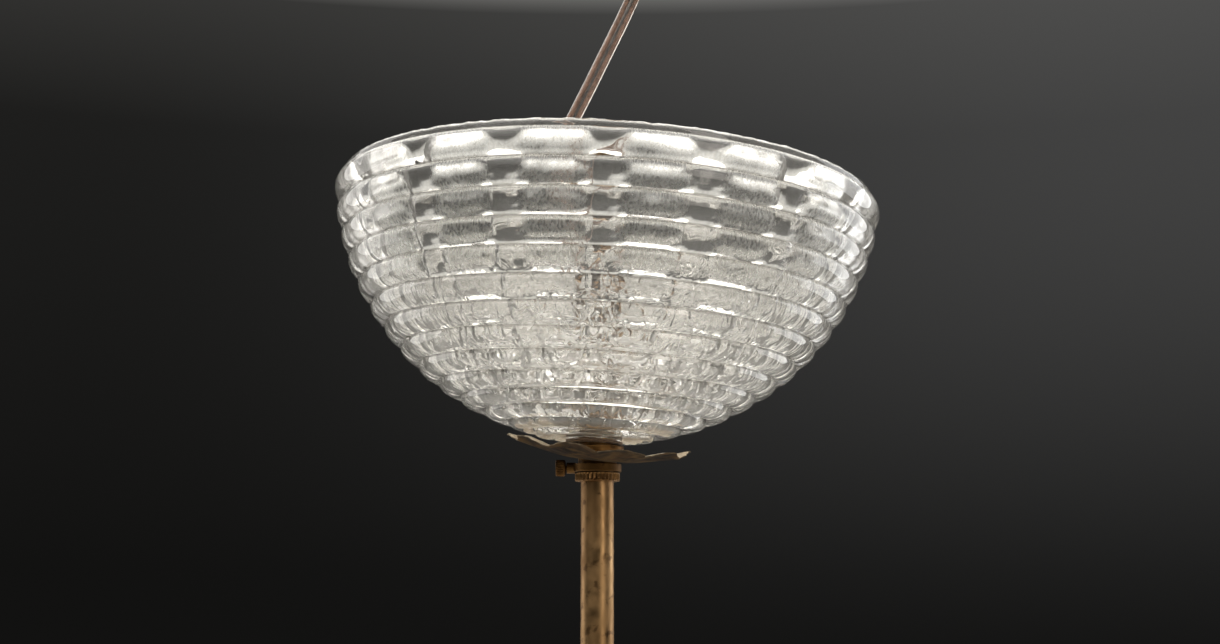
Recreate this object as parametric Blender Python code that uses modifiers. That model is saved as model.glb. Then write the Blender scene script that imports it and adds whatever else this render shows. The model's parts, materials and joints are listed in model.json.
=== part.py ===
"""Pendant ceiling light: a ribbed glass canopy bowl on a brass stem, with its flex and lampholder.

Metres, +Z up. The origin is the middle of the bracket's flat face on the ceiling, and the stem's
axis is the Z axis. The bowl and the petal cup sit a little askew, as loose parts on a stem do.
"""

import math

import bmesh
import bpy
from mathutils import Matrix, Vector

GAP = 0.0003  # running gap between neighbours

# Stem
STEM_R = 0.006
STEM_WALL = 0.001
STEM_TOP = -0.1723
STEM_BOTTOM = -0.330

# Glass bowl: an ellipse of revolution in stacked rings, open upwards
BOWL_R = 0.0990
BOWL_AXIS_H = 0.095  # height of the ellipse's centre above the bowl's foot
BOWL_H = 0.0915
BOWL_WALL = 0.0042
BOWL_FOOT = -0.2174
BOWL_HOLE_R = 0.0095
BOWL_PIVOT = -0.196
BOWL_TILT = math.radians(3.1)
RING_PITCH = math.radians(5.63)
FIRST_GROOVE = math.radians(80.9)
GROOVES = 12
RING_SWELL = 0.0026
FOOT_RING_R = 0.0205
FLOOR_T = 0.005

# Seat of the bowl
WASHER_T = 0.0012
NECK_R = 0.007
BORE_R = STEM_R + GAP
SLEEVE_R = 0.00975
SLEEVE_TOP = -0.2199
SLEEVE_BOTTOM = -0.2222
CUP_SEAT = -0.22434
CUP_R = 0.033
CUP_RISE = 0.0048
CUP_FLAT_R = 0.011
CUP_T = 0.0006
SCALLOP = 0.10  # share of the cup's radius
CUP_ROLL = math.radians(6.3)
CUP_PITCH = math.radians(6.5)
PETALS = 10
COLLAR_R = 0.00875
COLLAR_TOP = -0.2262
COLLAR_BOTTOM = -0.2291
NECK_TOP = -0.2045
NUT_BOTTOM = -0.2099
NUT_TOP = -0.2062
KNURL_R = 0.0081
KNURL_BOTTOM = -0.2325

# Thumb screw in the collar's boss, along X
THUMB_Z = -0.22765
BOSS_END = -0.0112

# Loop at the stem's top, hanging folded down
LOOP_Z = -0.1795
LOOP_LEN = 0.022
LOOP_SPAN = 0.0092
LOOP_WIRE_R = 0.0014
LOOP_BEND_R = 0.0016
LOOP_FOLD = math.radians(159)

# Flex, a flat twin lead, and the ceiling fitting that it hangs in
FLEX_R = 0.00265
BUSH_TOP = -0.1690
GRIP_X = 0.017
GRIP_BOTTOM = -0.034
CEILING_CUP_R = 0.032
CEILING_CUP_H = 0.020
CUP_SCREW_Y = 0.013
STUD_R = 0.0050
CORE_R = 0.0010
CORE_SPACING = 0.0042
TERMINAL_Z = -0.0135
FLEX_ROUTE = (
    (0, 0, BUSH_TOP + GAP),
    (-0.0002, 0.0002, -0.1630),
    (-0.0014, 0.0008, -0.1555),
    (-0.0044, 0.0016, -0.1460),
    (-0.0084, 0.0022, -0.1360),
    (-0.0118, 0.0022, -0.1260),
    (-0.0137, 0.0018, -0.1160),
    (-0.0134, 0.0010, -0.1070),
    (-0.0110, 0.0004, -0.0995),
    (-0.0079, 0, -0.0930),
    (-0.0033, 0, -0.0835),
    (0.0013, 0, -0.0737),
    (0.0060, 0, -0.0638),
    (0.0107, 0, -0.0537),
    (0.0143, 0, -0.0453),
    (0.0164, 0, -0.0385),
    (GRIP_X, 0, GRIP_BOTTOM - GAP),
)

# Lampholder and bulb under the stem
CAP_TOP = -0.3333
CAP_R = 0.0140
CAP_BOTTOM = -0.3520
HOLDER_WALL = 0.0010
SHELL_R = 0.0148
SHELL_BOTTOM = -0.3880
INSERT_TOP = -0.3490
BULB_TIP = -0.3565
BULB_CAP_BOTTOM = -0.3790
BULB_R = 0.0225
BULB_CENTRE = -0.4120
BULB_NECK_R = 0.0062
BULB_NECK_END = -0.3925
BULB_T = 0.0006

parts = None
helpers = None
materials = {}


def clear_scene():
    for obj in list(bpy.data.objects):
        bpy.data.objects.remove(obj)


def new_collection(name):
    made = bpy.data.collections.new(name)
    bpy.context.scene.collection.children.link(made)
    return made


def material(name, colour, roughness, metallic=0.0, alpha=1.0):
    made = bpy.data.materials.new(name)
    made.use_nodes = True
    shader = made.node_tree.nodes["Principled BSDF"]
    shader.inputs["Base Color"].default_value = (*colour, 1)
    shader.inputs["Roughness"].default_value = roughness
    shader.inputs["Metallic"].default_value = metallic
    shader.inputs["Alpha"].default_value = alpha
    materials[name] = made


def make_materials():
    material("aged_brass", (0.42, 0.29, 0.15), 0.38, 1.0)
    material("dark_brass", (0.20, 0.13, 0.07), 0.5, 1.0)
    material("clear_glass", (0.93, 0.93, 0.90), 0.05, alpha=0.35)
    material("bulb_glass", (0.95, 0.95, 0.93), 0.04, alpha=0.3)
    material("clear_flex", (0.62, 0.52, 0.47), 0.25)
    material("felt", (0.16, 0.10, 0.06), 0.95)
    material("porcelain", (0.85, 0.83, 0.78), 0.3)
    material("steel", (0.62, 0.62, 0.60), 0.3, 1.0)
    material("white_plastic", (0.82, 0.81, 0.77), 0.4)
    material("black_glass", (0.03, 0.03, 0.035), 0.2)
    material("tungsten", (0.30, 0.29, 0.28), 0.45, 1.0)
    material("core_brown", (0.30, 0.15, 0.08), 0.5)
    material("core_blue", (0.10, 0.22, 0.45), 0.5)


def place(obj, name, slot, where=None, collection=None):
    obj.name = name
    if slot:
        obj.data.materials.append(materials[slot])
    if where is not None:
        obj.matrix_world = where
    for old in list(obj.users_collection):
        old.objects.unlink(obj)
    (collection or parts).objects.link(obj)
    return obj


def smooth(mesh):
    mesh.shade_smooth()
    mesh.set_sharp_from_angle(angle=math.radians(35))


def turned(name, slot, profile, steps=20, where=None, closed=True, collection=None):
    """Turns (radius, height) points about Z. They run down the outer side, then back up inside."""
    mesh = bpy.data.meshes.new(name)
    edges = [(i, i + 1) for i in range(len(profile) - 1)]
    if closed:
        edges.append((len(profile) - 1, 0))
    mesh.from_pydata([(r, 0, z) for r, z in profile], edges, [])
    obj = place(bpy.data.objects.new(name, mesh), name, slot, where, collection)
    screw = obj.modifiers.new("Turn", "SCREW")
    screw.steps = steps
    screw.render_steps = steps
    screw.use_merge_vertices = True
    screw.merge_threshold = 0.00001
    screw.use_smooth_shade = True
    return obj


def ring(name, slot, r_in, r_out, low, high, edge=0.0002, steps=20, where=None):
    """A flat ring with small chamfers on its outer edges."""
    profile = [
        (r_out - edge, high),
        (r_out, high - edge),
        (r_out, low + edge),
        (r_out - edge, low),
        (r_in, low),
        (r_in, high),
    ]
    return turned(name, slot, profile, steps, where)


def hex_ring(name, slot, r_in, r_out, low, high, where=None):
    """A hexagon nut: its six-sided bore clears a round of radius r_in."""
    return ring(name, slot, r_in / math.cos(math.radians(30)), r_out, low, high, 0.0003, 6, where)


def tube(name, slot, points, radius, resolution=2, where=None):
    """A wire of the given radius through the points, with filled ends."""
    curve = bpy.data.curves.new(name, "CURVE")
    curve.dimensions = "3D"
    curve.bevel_depth = radius
    curve.bevel_resolution = resolution
    curve.use_fill_caps = True
    spline = curve.splines.new("POLY")
    spline.points.add(len(points) - 1)
    for point, co in zip(spline.points, points):
        point.co = (*co, 1)
    return place(bpy.data.objects.new(name, curve), name, slot, where)


def smooth_route(points, spacing):
    """Points about `spacing` apart on a Catmull-Rom curve through the given points."""
    knots = [Vector(p) for p in points]
    knots = [2 * knots[0] - knots[1], *knots, 2 * knots[-1] - knots[-2]]
    out = []
    for a, b, c, d in zip(knots, knots[1:], knots[2:], knots[3:]):
        pieces = max(1, round((c - b).length / spacing))
        for i in range(pieces):
            t = i / pieces
            out.append(
                0.5
                * (
                    2 * b
                    + (c - a) * t
                    + (2 * a - 5 * b + 4 * c - d) * t**2
                    + (3 * b - a - 3 * c + d) * t**3
                )
            )
    out.append(knots[-2])
    return out


def box(name, slot, low, high, bevel=0.0, collection=None):
    bpy.ops.mesh.primitive_cube_add(size=1)
    obj = bpy.context.object
    low, high = Vector(low), Vector(high)
    obj.data.transform(Matrix.Diagonal((*(high - low), 1)))
    place(obj, name, slot, Matrix.Translation((low + high) / 2), collection)
    if bevel:
        round_edges = obj.modifiers.new("Edges", "BEVEL")
        round_edges.width = bevel
        round_edges.segments = 1
    return obj


def rod_cutter(name, radius, centre, axis, length, steps=16):
    """A cylinder to cut with, about its centre, along an axis."""
    profile = [(0, length / 2), (radius, length / 2), (radius, -length / 2), (0, -length / 2)]
    turn = Vector((0, 0, 1)).rotation_difference(Vector(axis)).to_matrix().to_4x4()
    where = Matrix.Translation(centre) @ turn
    cutter = turned(name, None, profile, steps, where, closed=False, collection=helpers)
    return hide_helper(cutter)


def hide_helper(obj):
    obj.hide_render = True
    obj.display_type = "WIRE"
    return obj


def combine(obj, other, operation="DIFFERENCE"):
    boolean = obj.modifiers.new(operation.title(), "BOOLEAN")
    boolean.operation = operation
    boolean.solver = "EXACT"
    boolean.object = other


def tilt_about(z, roll, pitch=0.0):
    """A frame on the stem's axis at height z, rolled about Y and pitched about X."""
    return Matrix.Translation((0, 0, z)) @ Matrix.Rotation(roll, 4, "Y") @ Matrix.Rotation(pitch, 4, "X")


# ---------------------------------------------------------------- ceiling fitting and flex


def ceiling_fitting():
    bracket = box("ceiling_bracket", "steel", (-0.007, -0.027, -0.0016), (0.007, 0.027, 0))
    for side in (-1, 1):
        slot = box(
            "bracket_slot", None, (-0.0022, side * 0.0215 - 0.0035, -0.003),
            (0.0022, side * 0.0215 + 0.0035, 0.001), collection=helpers,
        )
        combine(bracket, hide_helper(slot))
        combine(bracket, rod_cutter("bracket_tap", 0.0016, (0, side * CUP_SCREW_Y, 0), (0, 0, 1), 0.01))

    wall = 0.0012
    rim = CEILING_CUP_R
    top = -GAP
    floor = -CEILING_CUP_H
    corner = 0.005
    arc = [math.radians(a) for a in (0, 22.5, 45, 67.5, 90)]
    outer = [(rim - corner + corner * math.cos(a), floor + corner - corner * math.sin(a)) for a in arc]
    inset = corner - wall
    inner = [(rim - corner + inset * math.cos(a), floor + corner - inset * math.sin(a)) for a in arc]
    profile = [(rim, top), *outer, (0, floor), (0, floor + wall), *reversed(inner), (rim - wall, top)]
    cup = turned("ceiling_cup", "aged_brass", profile, 24)
    combine(cup, rod_cutter("grip_hole", STUD_R + GAP, (GRIP_X, 0, floor), (0, 0, 1), 0.01))
    for index, side in enumerate((-1, 1), 1):
        combine(cup, rod_cutter("screw_hole", 0.0019, (0, side * CUP_SCREW_Y, floor), (0, 0, 1), 0.01))
        head = floor - GAP
        screw = [
            (0, head - 0.0022), (0.0018, head - 0.0020), (0.0034, head - 0.0010),
            (0.0036, head), (0.0013, head), (0.0013, -0.0006), (0, -0.0006),
        ]
        turned(
            f"cup_screw_{index}", "aged_brass", screw[::-1], 16,
            Matrix.Translation((0, side * CUP_SCREW_Y, 0)), closed=False,
        )

    grip = Matrix.Translation((GRIP_X, 0, 0))
    bore = FLEX_R + GAP
    stud_top = -0.0125
    flange = floor - GAP
    body = [
        (STUD_R, stud_top), (STUD_R, flange), (0.0078, flange), (0.0078, flange - 0.0025),
        (0.0052, flange - 0.0035), (0.0052, flange - 0.0085), (bore, flange - 0.0085), (bore, stud_top),
    ]
    turned("cord_grip_body", "white_plastic", body, 16, grip)
    cap = [
        (0.0070, flange - 0.0038), (0.0073, flange - 0.0085), (0.0062, GRIP_BOTTOM + 0.0008),
        (0.0045, GRIP_BOTTOM), (bore, GRIP_BOTTOM), (bore, flange - 0.0090), (0.0055, flange - 0.0088),
        (0.0055, flange - 0.0038),
    ]
    turned("cord_grip_cap", "white_plastic", cap, 16, grip)
    hex_ring("cord_grip_nut", "steel", STUD_R + GAP, 0.0085, floor + wall + GAP, floor + wall + 0.0028, grip)

    block = box("terminal_block", "white_plastic", (-0.0225, -0.0085, -0.0175), (-0.0125, 0.0085, -0.0075), 0.0008)
    for index, side in enumerate((-1, 1), 1):
        y = side * CORE_SPACING
        combine(block, rod_cutter("wire_way", 0.0016, (-0.0125, y, TERMINAL_Z), (1, 0, 0), 0.012))
        combine(block, rod_cutter("screw_way", 0.0019, (-0.0175, y, -0.0075), (0, 0, 1), 0.004))
        turned(
            f"terminal_screw_{index}", "steel",
            [(0, -0.0072), (0.0015, -0.0074), (0.0015, -0.0090), (0, -0.0090)],
            12, Matrix.Translation((-0.0175, y, 0)), closed=False,
        )


def flex():
    tube("flex_lead", "clear_flex", smooth_route(FLEX_ROUTE, 2.2 * FLEX_R), FLEX_R)
    top = GRIP_BOTTOM + GAP
    tube("flex_tail", "clear_flex", [(GRIP_X, 0, top), (GRIP_X, 0, -0.0125)], FLEX_R)
    for index, side in enumerate((-1, 1), 1):
        route = [
            (GRIP_X, side * 0.0013, -0.0122), (GRIP_X - 0.0008, side * 0.0014, -0.0100),
            (GRIP_X - 0.0040, side * 0.0020, -0.0072), (0.0060, side * 0.0032, -0.0066),
            (-0.0020, side * CORE_SPACING, -0.0085), (-0.0080, side * CORE_SPACING, -0.0120),
            (-0.0112, side * CORE_SPACING, TERMINAL_Z), (-0.0160, side * CORE_SPACING, TERMINAL_Z),
        ]
        slot = "core_brown" if side < 0 else "core_blue"
        tube(f"tail_core_{index}", slot, smooth_route(route, 0.003), CORE_R, 1)
    tube("flex_in_stem", "clear_flex", [(0, 0, BUSH_TOP - GAP), (0, 0, -0.250), (0, 0, -0.3400)], FLEX_R)
    for index, side in enumerate((-1, 1), 1):
        route = [
            (side * 0.0013, 0, -0.3403), (side * 0.0020, 0, -0.3425),
            (side * 0.0050, 0, -0.3450), (side * 0.0068, 0, -0.3487),
        ]
        slot = "core_brown" if side < 0 else "core_blue"
        tube(f"holder_core_{index}", slot, smooth_route(route, 0.002), CORE_R, 1)


# ---------------------------------------------------------------- stem


def stem():
    inner = STEM_R - STEM_WALL
    bend = 0.0003
    profile = [
        (STEM_R - bend, STEM_TOP), (STEM_R, STEM_TOP - bend), (STEM_R, STEM_BOTTOM + bend),
        (STEM_R - bend, STEM_BOTTOM), (inner, STEM_BOTTOM), (inner, STEM_TOP),
    ]
    made = turned("stem_tube", "aged_brass", profile, 24)
    combine(made, rod_cutter("loop_hole", LOOP_WIRE_R + GAP, (0, 0, LOOP_Z), (0, 1, 0), 0.03))

    bore = FLEX_R + GAP
    spigot = inner - GAP
    low = STEM_TOP + GAP
    bush = [
        (bore + 0.0006, BUSH_TOP), (0.0050, BUSH_TOP), (0.0066, low + 0.0012), (0.0066, low),
        (spigot, low), (spigot, STEM_TOP - 0.0035), (bore, STEM_TOP - 0.0035), (bore, BUSH_TOP - 0.0006),
    ]
    turned("stem_top_bush", "aged_brass", bush)

    end = inner - 0.0004
    bend = LOOP_BEND_R
    side = [(0, end, 0), (0, LOOP_SPAN - bend, 0)]
    side += [
        (0, LOOP_SPAN - bend + bend * math.sin(a), bend - bend * math.cos(a))
        for a in (math.radians(30), math.radians(60), math.radians(90))
    ]
    shoulder = LOOP_LEN - LOOP_SPAN
    bow = [
        (0, LOOP_SPAN * math.cos(math.radians(a)), shoulder + LOOP_SPAN * math.sin(math.radians(a)))
        for a in range(0, 181, 20)
    ]
    points = side + bow + [(x, -y, z) for x, y, z in reversed(side)]
    tube("hang_loop", "aged_brass", points, LOOP_WIRE_R, 2, tilt_about(LOOP_Z, LOOP_FOLD))


# ---------------------------------------------------------------- glass bowl and its seat


def on_wall(angle, swell=0.0):
    """A point of the bowl's outer ellipse, moved out along its normal; (radius, height over foot)."""
    r = BOWL_R * math.sin(angle)
    z = BOWL_AXIS_H * (1 - math.cos(angle))
    normal = Vector((math.sin(angle) / BOWL_R, -math.cos(angle) / BOWL_AXIS_H)).normalized()
    return r + swell * normal.x, z + swell * normal.y


def bowl_profile():
    rim_angle = math.acos(1 - BOWL_H / BOWL_AXIS_H)
    groove = [FIRST_GROOVE - i * RING_PITCH for i in range(GROOVES)]
    band = rim_angle - math.radians(2.2)
    outer = [(BOWL_R - 0.0014, BOWL_H), on_wall(rim_angle), on_wall(band)]
    stops = [band, *groove]
    for top, bottom in zip(stops, stops[1:]):
        low_ring = min(1.0, 0.5 + math.sin(bottom) * 0.5)
        for share, rise in ((0.28, 1.0), (0.72, 0.95)):
            outer.append(on_wall(top + (bottom - top) * share, RING_SWELL * rise * low_ring))
        outer.append(on_wall(bottom))
    outer += [(0.0302, 0.0042), (0.0280, 0.0029), (0.0248, 0.0012), (FOOT_RING_R, 0), (BOWL_HOLE_R, 0)]
    inner = [(BOWL_HOLE_R, FLOOR_T), (0.026, FLOOR_T)]
    steps = 8
    first = math.radians(22)
    for i in range(steps + 1):
        inner.append(on_wall(first + (rim_angle - first) * i / steps, -BOWL_WALL))
    inner[-1] = (BOWL_R - BOWL_WALL, BOWL_H - 0.0006)
    return [(r, z + BOWL_FOOT - BOWL_PIVOT) for r, z in outer + inner]


def bowl_and_washers():
    askew = tilt_about(BOWL_PIVOT, BOWL_TILT)
    foot = BOWL_FOOT - BOWL_PIVOT
    turned("glass_bowl", "clear_glass", bowl_profile(), 32, askew)
    low = foot - GAP - WASHER_T
    ring("seat_washer", "felt", 0.0088, 0.0114, low, foot - GAP, where=askew)
    high = foot + FLOOR_T + GAP
    ring("inner_washer", "felt", 0.0088, 0.0125, high, high + WASHER_T, where=askew)


def seat():
    ring("neck_sleeve", "dark_brass", NECK_R + GAP, SLEEVE_R, SLEEVE_BOTTOM, SLEEVE_TOP, 0.0003)
    ring("inner_ring_nut", "aged_brass", NECK_R + GAP, 0.0115, NUT_BOTTOM, NUT_TOP, 0.0005)
    profile = [
        (NECK_R - 0.0003, NECK_TOP), (NECK_R, NECK_TOP - 0.0003), (NECK_R, COLLAR_TOP),
        (COLLAR_R - 0.0003, COLLAR_TOP), (COLLAR_R, COLLAR_TOP - 0.0003),
        (COLLAR_R, COLLAR_BOTTOM + 0.0003), (COLLAR_R - 0.0003, COLLAR_BOTTOM),
        (BORE_R, COLLAR_BOTTOM), (BORE_R, NECK_TOP),
    ]
    collar = turned("stop_collar", "dark_brass", profile, 24)
    reach = abs(BOSS_END) - 0.0078
    boss = rod_cutter("collar_boss", 0.0020, ((BOSS_END - 0.0078) / 2, 0, THUMB_Z), (1, 0, 0), reach, 20)
    combine(collar, boss, "UNION")
    combine(collar, rod_cutter("thumb_hole", 0.0011, (-0.010, 0, THUMB_Z), (1, 0, 0), 0.010, 12))
    ring("knurled_ring", "aged_brass", BORE_R, KNURL_R, KNURL_BOTTOM, COLLAR_BOTTOM - GAP, 0.0004, 24)


def thumb_screw():
    """Turned about Z, then laid along X with its head out to the left."""
    head = abs(BOSS_END) + GAP
    tip = STEM_R + GAP
    profile = [
        (0, head + 0.0036), (0.0022, head + 0.0036), (0.0030, head + 0.0030), (0.0030, head + 0.0006),
        (0.0026, head), (0.0008, head), (0.0008, tip), (0, tip),
    ]
    lay = Matrix.Translation((0, 0, THUMB_Z)) @ Matrix.Rotation(math.radians(-90), 4, "Y")
    turned("thumb_screw", "dark_brass", profile, 20, lay, closed=False)


def petal_cup():
    """A scalloped dish: a grid wound round the axis, then thickened."""
    around, rows = 50, 3
    hole = NECK_R + 0.0007
    bpy.ops.mesh.primitive_grid_add(x_subdivisions=around, y_subdivisions=rows, size=1)
    obj = bpy.context.object
    for vertex in obj.data.vertices:
        angle = 2 * math.pi * (vertex.co.x + 0.5)
        edge = CUP_R * (1 - SCALLOP + SCALLOP * abs(math.cos(PETALS * angle / 2)) ** 0.7)
        radius = hole + (edge - hole) * (0.5 - vertex.co.y)
        climb = max(0.0, (radius - CUP_FLAT_R) / (CUP_R - CUP_FLAT_R))
        vertex.co = (radius * math.cos(angle), radius * math.sin(angle), CUP_RISE * climb**1.3)
    work = bmesh.new()
    work.from_mesh(obj.data)
    bmesh.ops.remove_doubles(work, verts=work.verts, dist=0.00001)
    bmesh.ops.recalc_face_normals(work, faces=work.faces)
    work.to_mesh(obj.data)
    work.free()
    smooth(obj.data)
    place(obj, "petal_cup", "aged_brass", tilt_about(CUP_SEAT, CUP_ROLL, CUP_PITCH))
    shell = obj.modifiers.new("Sheet", "SOLIDIFY")
    shell.thickness = CUP_T
    shell.offset = 0


# ---------------------------------------------------------------- lampholder and bulb


def lampholder():
    inner = STEM_R - STEM_WALL
    ring("holder_nipple", "aged_brass", FLEX_R + GAP, inner - GAP, -0.3390, STEM_BOTTOM + 0.009, 0.0004)
    hex_ring("holder_locknut", "aged_brass", inner, 0.0078, CAP_TOP + GAP, STEM_BOTTOM - GAP)
    wall = HOLDER_WALL
    cap = [
        (0.0072, CAP_TOP), (0.0080, CAP_TOP - 0.0006), (0.0086, CAP_TOP - 0.0040),
        (0.0110, CAP_TOP - 0.0068), (0.0132, CAP_TOP - 0.0096), (CAP_R, CAP_TOP - 0.0130),
        (CAP_R, CAP_BOTTOM), (CAP_R - wall, CAP_BOTTOM), (CAP_R - wall, CAP_TOP - 0.0132),
        (0.0123, CAP_TOP - 0.0103), (0.0102, CAP_TOP - 0.0076), (0.0076, CAP_TOP - 0.0046),
        (0.0071, CAP_TOP - wall), (inner, CAP_TOP - wall), (inner, CAP_TOP),
    ]
    turned("lampholder_cap", "aged_brass", cap, 20)

    base = INSERT_TOP - 0.0052
    insert = [
        (0.0120, INSERT_TOP), (0.0124, INSERT_TOP - 0.0004), (0.0124, -0.3745), (0.0088, -0.3745),
        (0.0088, base), (0, base), (0, INSERT_TOP),
    ]
    turned("lampholder_insert", "porcelain", insert)
    ring("screw_shell", "aged_brass", 0.0076, 0.0085, -0.3740, base - GAP)
    box("centre_contact", "aged_brass", (-0.0050, -0.0018, base - GAP - 0.0006), (0.0050, 0.0018, base - GAP))

    shell = [
        (SHELL_R - 0.0003, CAP_BOTTOM - GAP), (SHELL_R, CAP_BOTTOM - 0.0006),
        (SHELL_R, SHELL_BOTTOM + 0.0010), (SHELL_R - 0.0005, SHELL_BOTTOM),
        (SHELL_R - wall, SHELL_BOTTOM), (SHELL_R - wall, CAP_BOTTOM - GAP),
    ]
    turned("lampholder_shell", "aged_brass", shell, 24)
    ring("holder_ring", "aged_brass", SHELL_R + GAP, SHELL_R + 0.0032, -0.3700, -0.3640, 0.0008, 24)


def bulb():
    turned(
        "bulb_contact", "steel",
        [(0, BULB_TIP), (0.0012, BULB_TIP - 0.0002), (0.0020, BULB_TIP - 0.0010), (0, BULB_TIP - 0.0010)],
        16, closed=False,
    )
    low = BULB_TIP - 0.0010 - GAP
    turned(
        "bulb_insulator", "black_glass",
        [(0, low), (0.0028, low), (0.0048, low - 0.0022), (0, low - 0.0022)], 20, closed=False,
    )
    top = low - 0.0022 - GAP
    wall = 0.0004
    cap = [
        (0.0050, top), (0.0064, top - 0.0012), (0.0069, top - 0.0030), (0.0069, BULB_CAP_BOTTOM),
        (0.0069 - wall, BULB_CAP_BOTTOM), (0.0069 - wall, top - 0.0032), (0.0050, top - 0.0012), (0.0030, top - wall),
        (0.0030, top),
    ]
    turned("bulb_cap", "steel", cap)

    def globe(radius, offset, reverse=False):
        reach = math.degrees(math.acos((BULB_NECK_R - offset) / radius))
        angles = [math.radians(reach - i * (reach + 90) / 10) for i in range(1, 10)]
        points = [(radius * math.cos(a), BULB_CENTRE + radius * math.sin(a)) for a in angles]
        return points[::-1] if reverse else points

    neck_top = BULB_CAP_BOTTOM + 0.0060
    neck = [(BULB_NECK_R, neck_top), (BULB_NECK_R, -0.3800), (0.0092, -0.3880)]
    outer = neck + [p for p in globe(BULB_R, 0) if p[1] < BULB_NECK_END]
    outer.append((0, BULB_CENTRE - BULB_R))
    inner = [(0, BULB_CENTRE - BULB_R + BULB_T)]
    inner += [p for p in globe(BULB_R - BULB_T, BULB_T, True) if p[1] < BULB_NECK_END]
    inner += [(r - BULB_T, z) for r, z in reversed(neck)]
    turned("bulb_glass", "bulb_glass", outer + inner, 24)

    mount = [
        (0.0015, -0.3720), (0.0046, -0.3735), (0.0044, -0.3790), (0.0024, -0.3840),
        (0.0016, -0.3900), (0.0014, -0.4000), (0.0018, -0.4012), (0, -0.4018),
    ]
    turned("bulb_stem", "bulb_glass", [(0, -0.3720), *mount], 16, closed=False)
    for index, side in enumerate((-1, 1), 1):
        route = [
            (side * 0.0040, 0, -0.3860), (side * 0.0062, 0, -0.3950),
            (side * 0.0090, 0, -0.4060), (side * 0.0098, 0, -0.4100),
        ]
        tube(f"lead_wire_{index}", "steel", smooth_route(route, 0.004), 0.0003, 1)
    arc = [math.radians(a) for a in range(-160, -19, 20)]
    wire = [(0.0104 * math.cos(a), 0.0104 * math.sin(a) + 0.004, -0.4108) for a in arc]
    tube("filament", "tungsten", wire, 0.0004, 1)


clear_scene()
parts = new_collection("pendant_light")
helpers = new_collection("cutters")
make_materials()
ceiling_fitting()
flex()
stem()
bowl_and_washers()
seat()
thumb_screw()
petal_cup()
lampholder()
bulb()
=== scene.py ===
"""Looks of the pendant ceiling light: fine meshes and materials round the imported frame.

Everything is in metres in the frame's own axes: Z up along the stem, the ceiling at Z = 0.
"""

import json
import math

import bmesh
import bpy
import numpy as np
from mathutils import Matrix, Vector, noise


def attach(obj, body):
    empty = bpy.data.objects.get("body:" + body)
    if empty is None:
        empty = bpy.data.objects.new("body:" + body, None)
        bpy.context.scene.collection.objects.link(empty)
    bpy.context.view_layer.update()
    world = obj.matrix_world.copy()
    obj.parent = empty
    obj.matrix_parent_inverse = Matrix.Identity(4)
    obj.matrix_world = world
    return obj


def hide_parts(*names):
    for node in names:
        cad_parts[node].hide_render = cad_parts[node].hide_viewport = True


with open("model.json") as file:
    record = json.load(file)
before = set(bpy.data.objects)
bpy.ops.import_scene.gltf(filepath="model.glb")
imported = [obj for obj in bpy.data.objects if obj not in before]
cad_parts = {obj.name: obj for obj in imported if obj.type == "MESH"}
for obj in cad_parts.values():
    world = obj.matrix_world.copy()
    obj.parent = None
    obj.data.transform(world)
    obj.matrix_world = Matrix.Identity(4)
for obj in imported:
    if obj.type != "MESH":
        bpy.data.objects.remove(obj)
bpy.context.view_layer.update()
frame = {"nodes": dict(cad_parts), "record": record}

TAU = 2 * math.pi
GAP = 0.0003

# The bowl: stacked rings on an ellipse of revolution, with a grid of lens cells moulded inside
BOWL_R = 0.0982
BOWL_AXIS_H = 0.095
BOWL_H = 0.0915
BOWL_FOOT = -0.2174
BOWL_PIVOT = -0.196
BOWL_TILT = math.radians(3.1)
BOWL_HOLE_R = 0.0095
RING_PITCH = math.radians(5.63)
FIRST_GROOVE = math.radians(80.9)
GROOVES = 12
RING_SWELL = 0.0028
COLUMNS = 18
COLUMN_STEPS = 20
OUTER_STEPS = 10
INNER_STEPS = 13
RIM_BAND = math.radians(1.5)
LIP = 0.0012
LIP_TURN = math.radians(0.35)
SATIN_LOW = math.radians(50)
SATIN_FADE = math.radians(14)
CELL_WIDTH = 0.76  # of a column
CELL_HEIGHT = 0.68  # of a ring
CELL_DEPTH = 0.0020
CELL_FADE = 0.12  # radians above the floor over which the cells reach their depth
CELL_BASE = 0.2  # the cell value of plain inner wall, so that 0 means the outside
WALL = 0.0052
WINDOW = 0.8  # how closely the wall between the cells follows the ring outside
WINDOW_EDGE = 2.5
SATIN_EDGE = 2.2
TOP_CELL = 0.75  # how deep the top row is, as a share of the others
FLOOR_T = 0.005
FELT_T = 0.0012

STEM_R = 0.006
STEM_TOP = -0.1723
STEM_BOTTOM = -0.330
LOOP_Z = -0.1795
LOOP_FOLD = math.radians(159)

CUP_SEAT = -0.22434
CUP_ROLL = math.radians(6.3)
CUP_PITCH = math.radians(6.5)
CUP_R = 0.0330
THUMB_Z = -0.22765
PETALS = 10

FLEX_WIDTH = 0.0053
FLEX_THICK = 0.0027
CORD_HOLE_R = 0.00295
BUSH_TOP = -0.1690
GRIP_X = 0.017
GRIP_BOTTOM = -0.034
FLEX_ROUTE = (
    (0, 0, BUSH_TOP + GAP),
    (-0.0002, 0.0002, -0.1630),
    (-0.0014, 0.0008, -0.1555),
    (-0.0044, 0.0016, -0.1460),
    (-0.0084, 0.0022, -0.1360),
    (-0.0118, 0.0022, -0.1260),
    (-0.0137, 0.0018, -0.1160),
    (-0.0134, 0.0010, -0.1070),
    (-0.0110, 0.0004, -0.0995),
    (-0.0079, 0, -0.0930),
    (-0.0033, 0, -0.0835),
    (0.0013, 0, -0.0737),
    (0.0060, 0, -0.0638),
    (0.0107, 0, -0.0537),
    (0.0143, 0, -0.0453),
    (0.0164, 0, -0.0385),
    (GRIP_X, 0, GRIP_BOTTOM - GAP),
)

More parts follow.
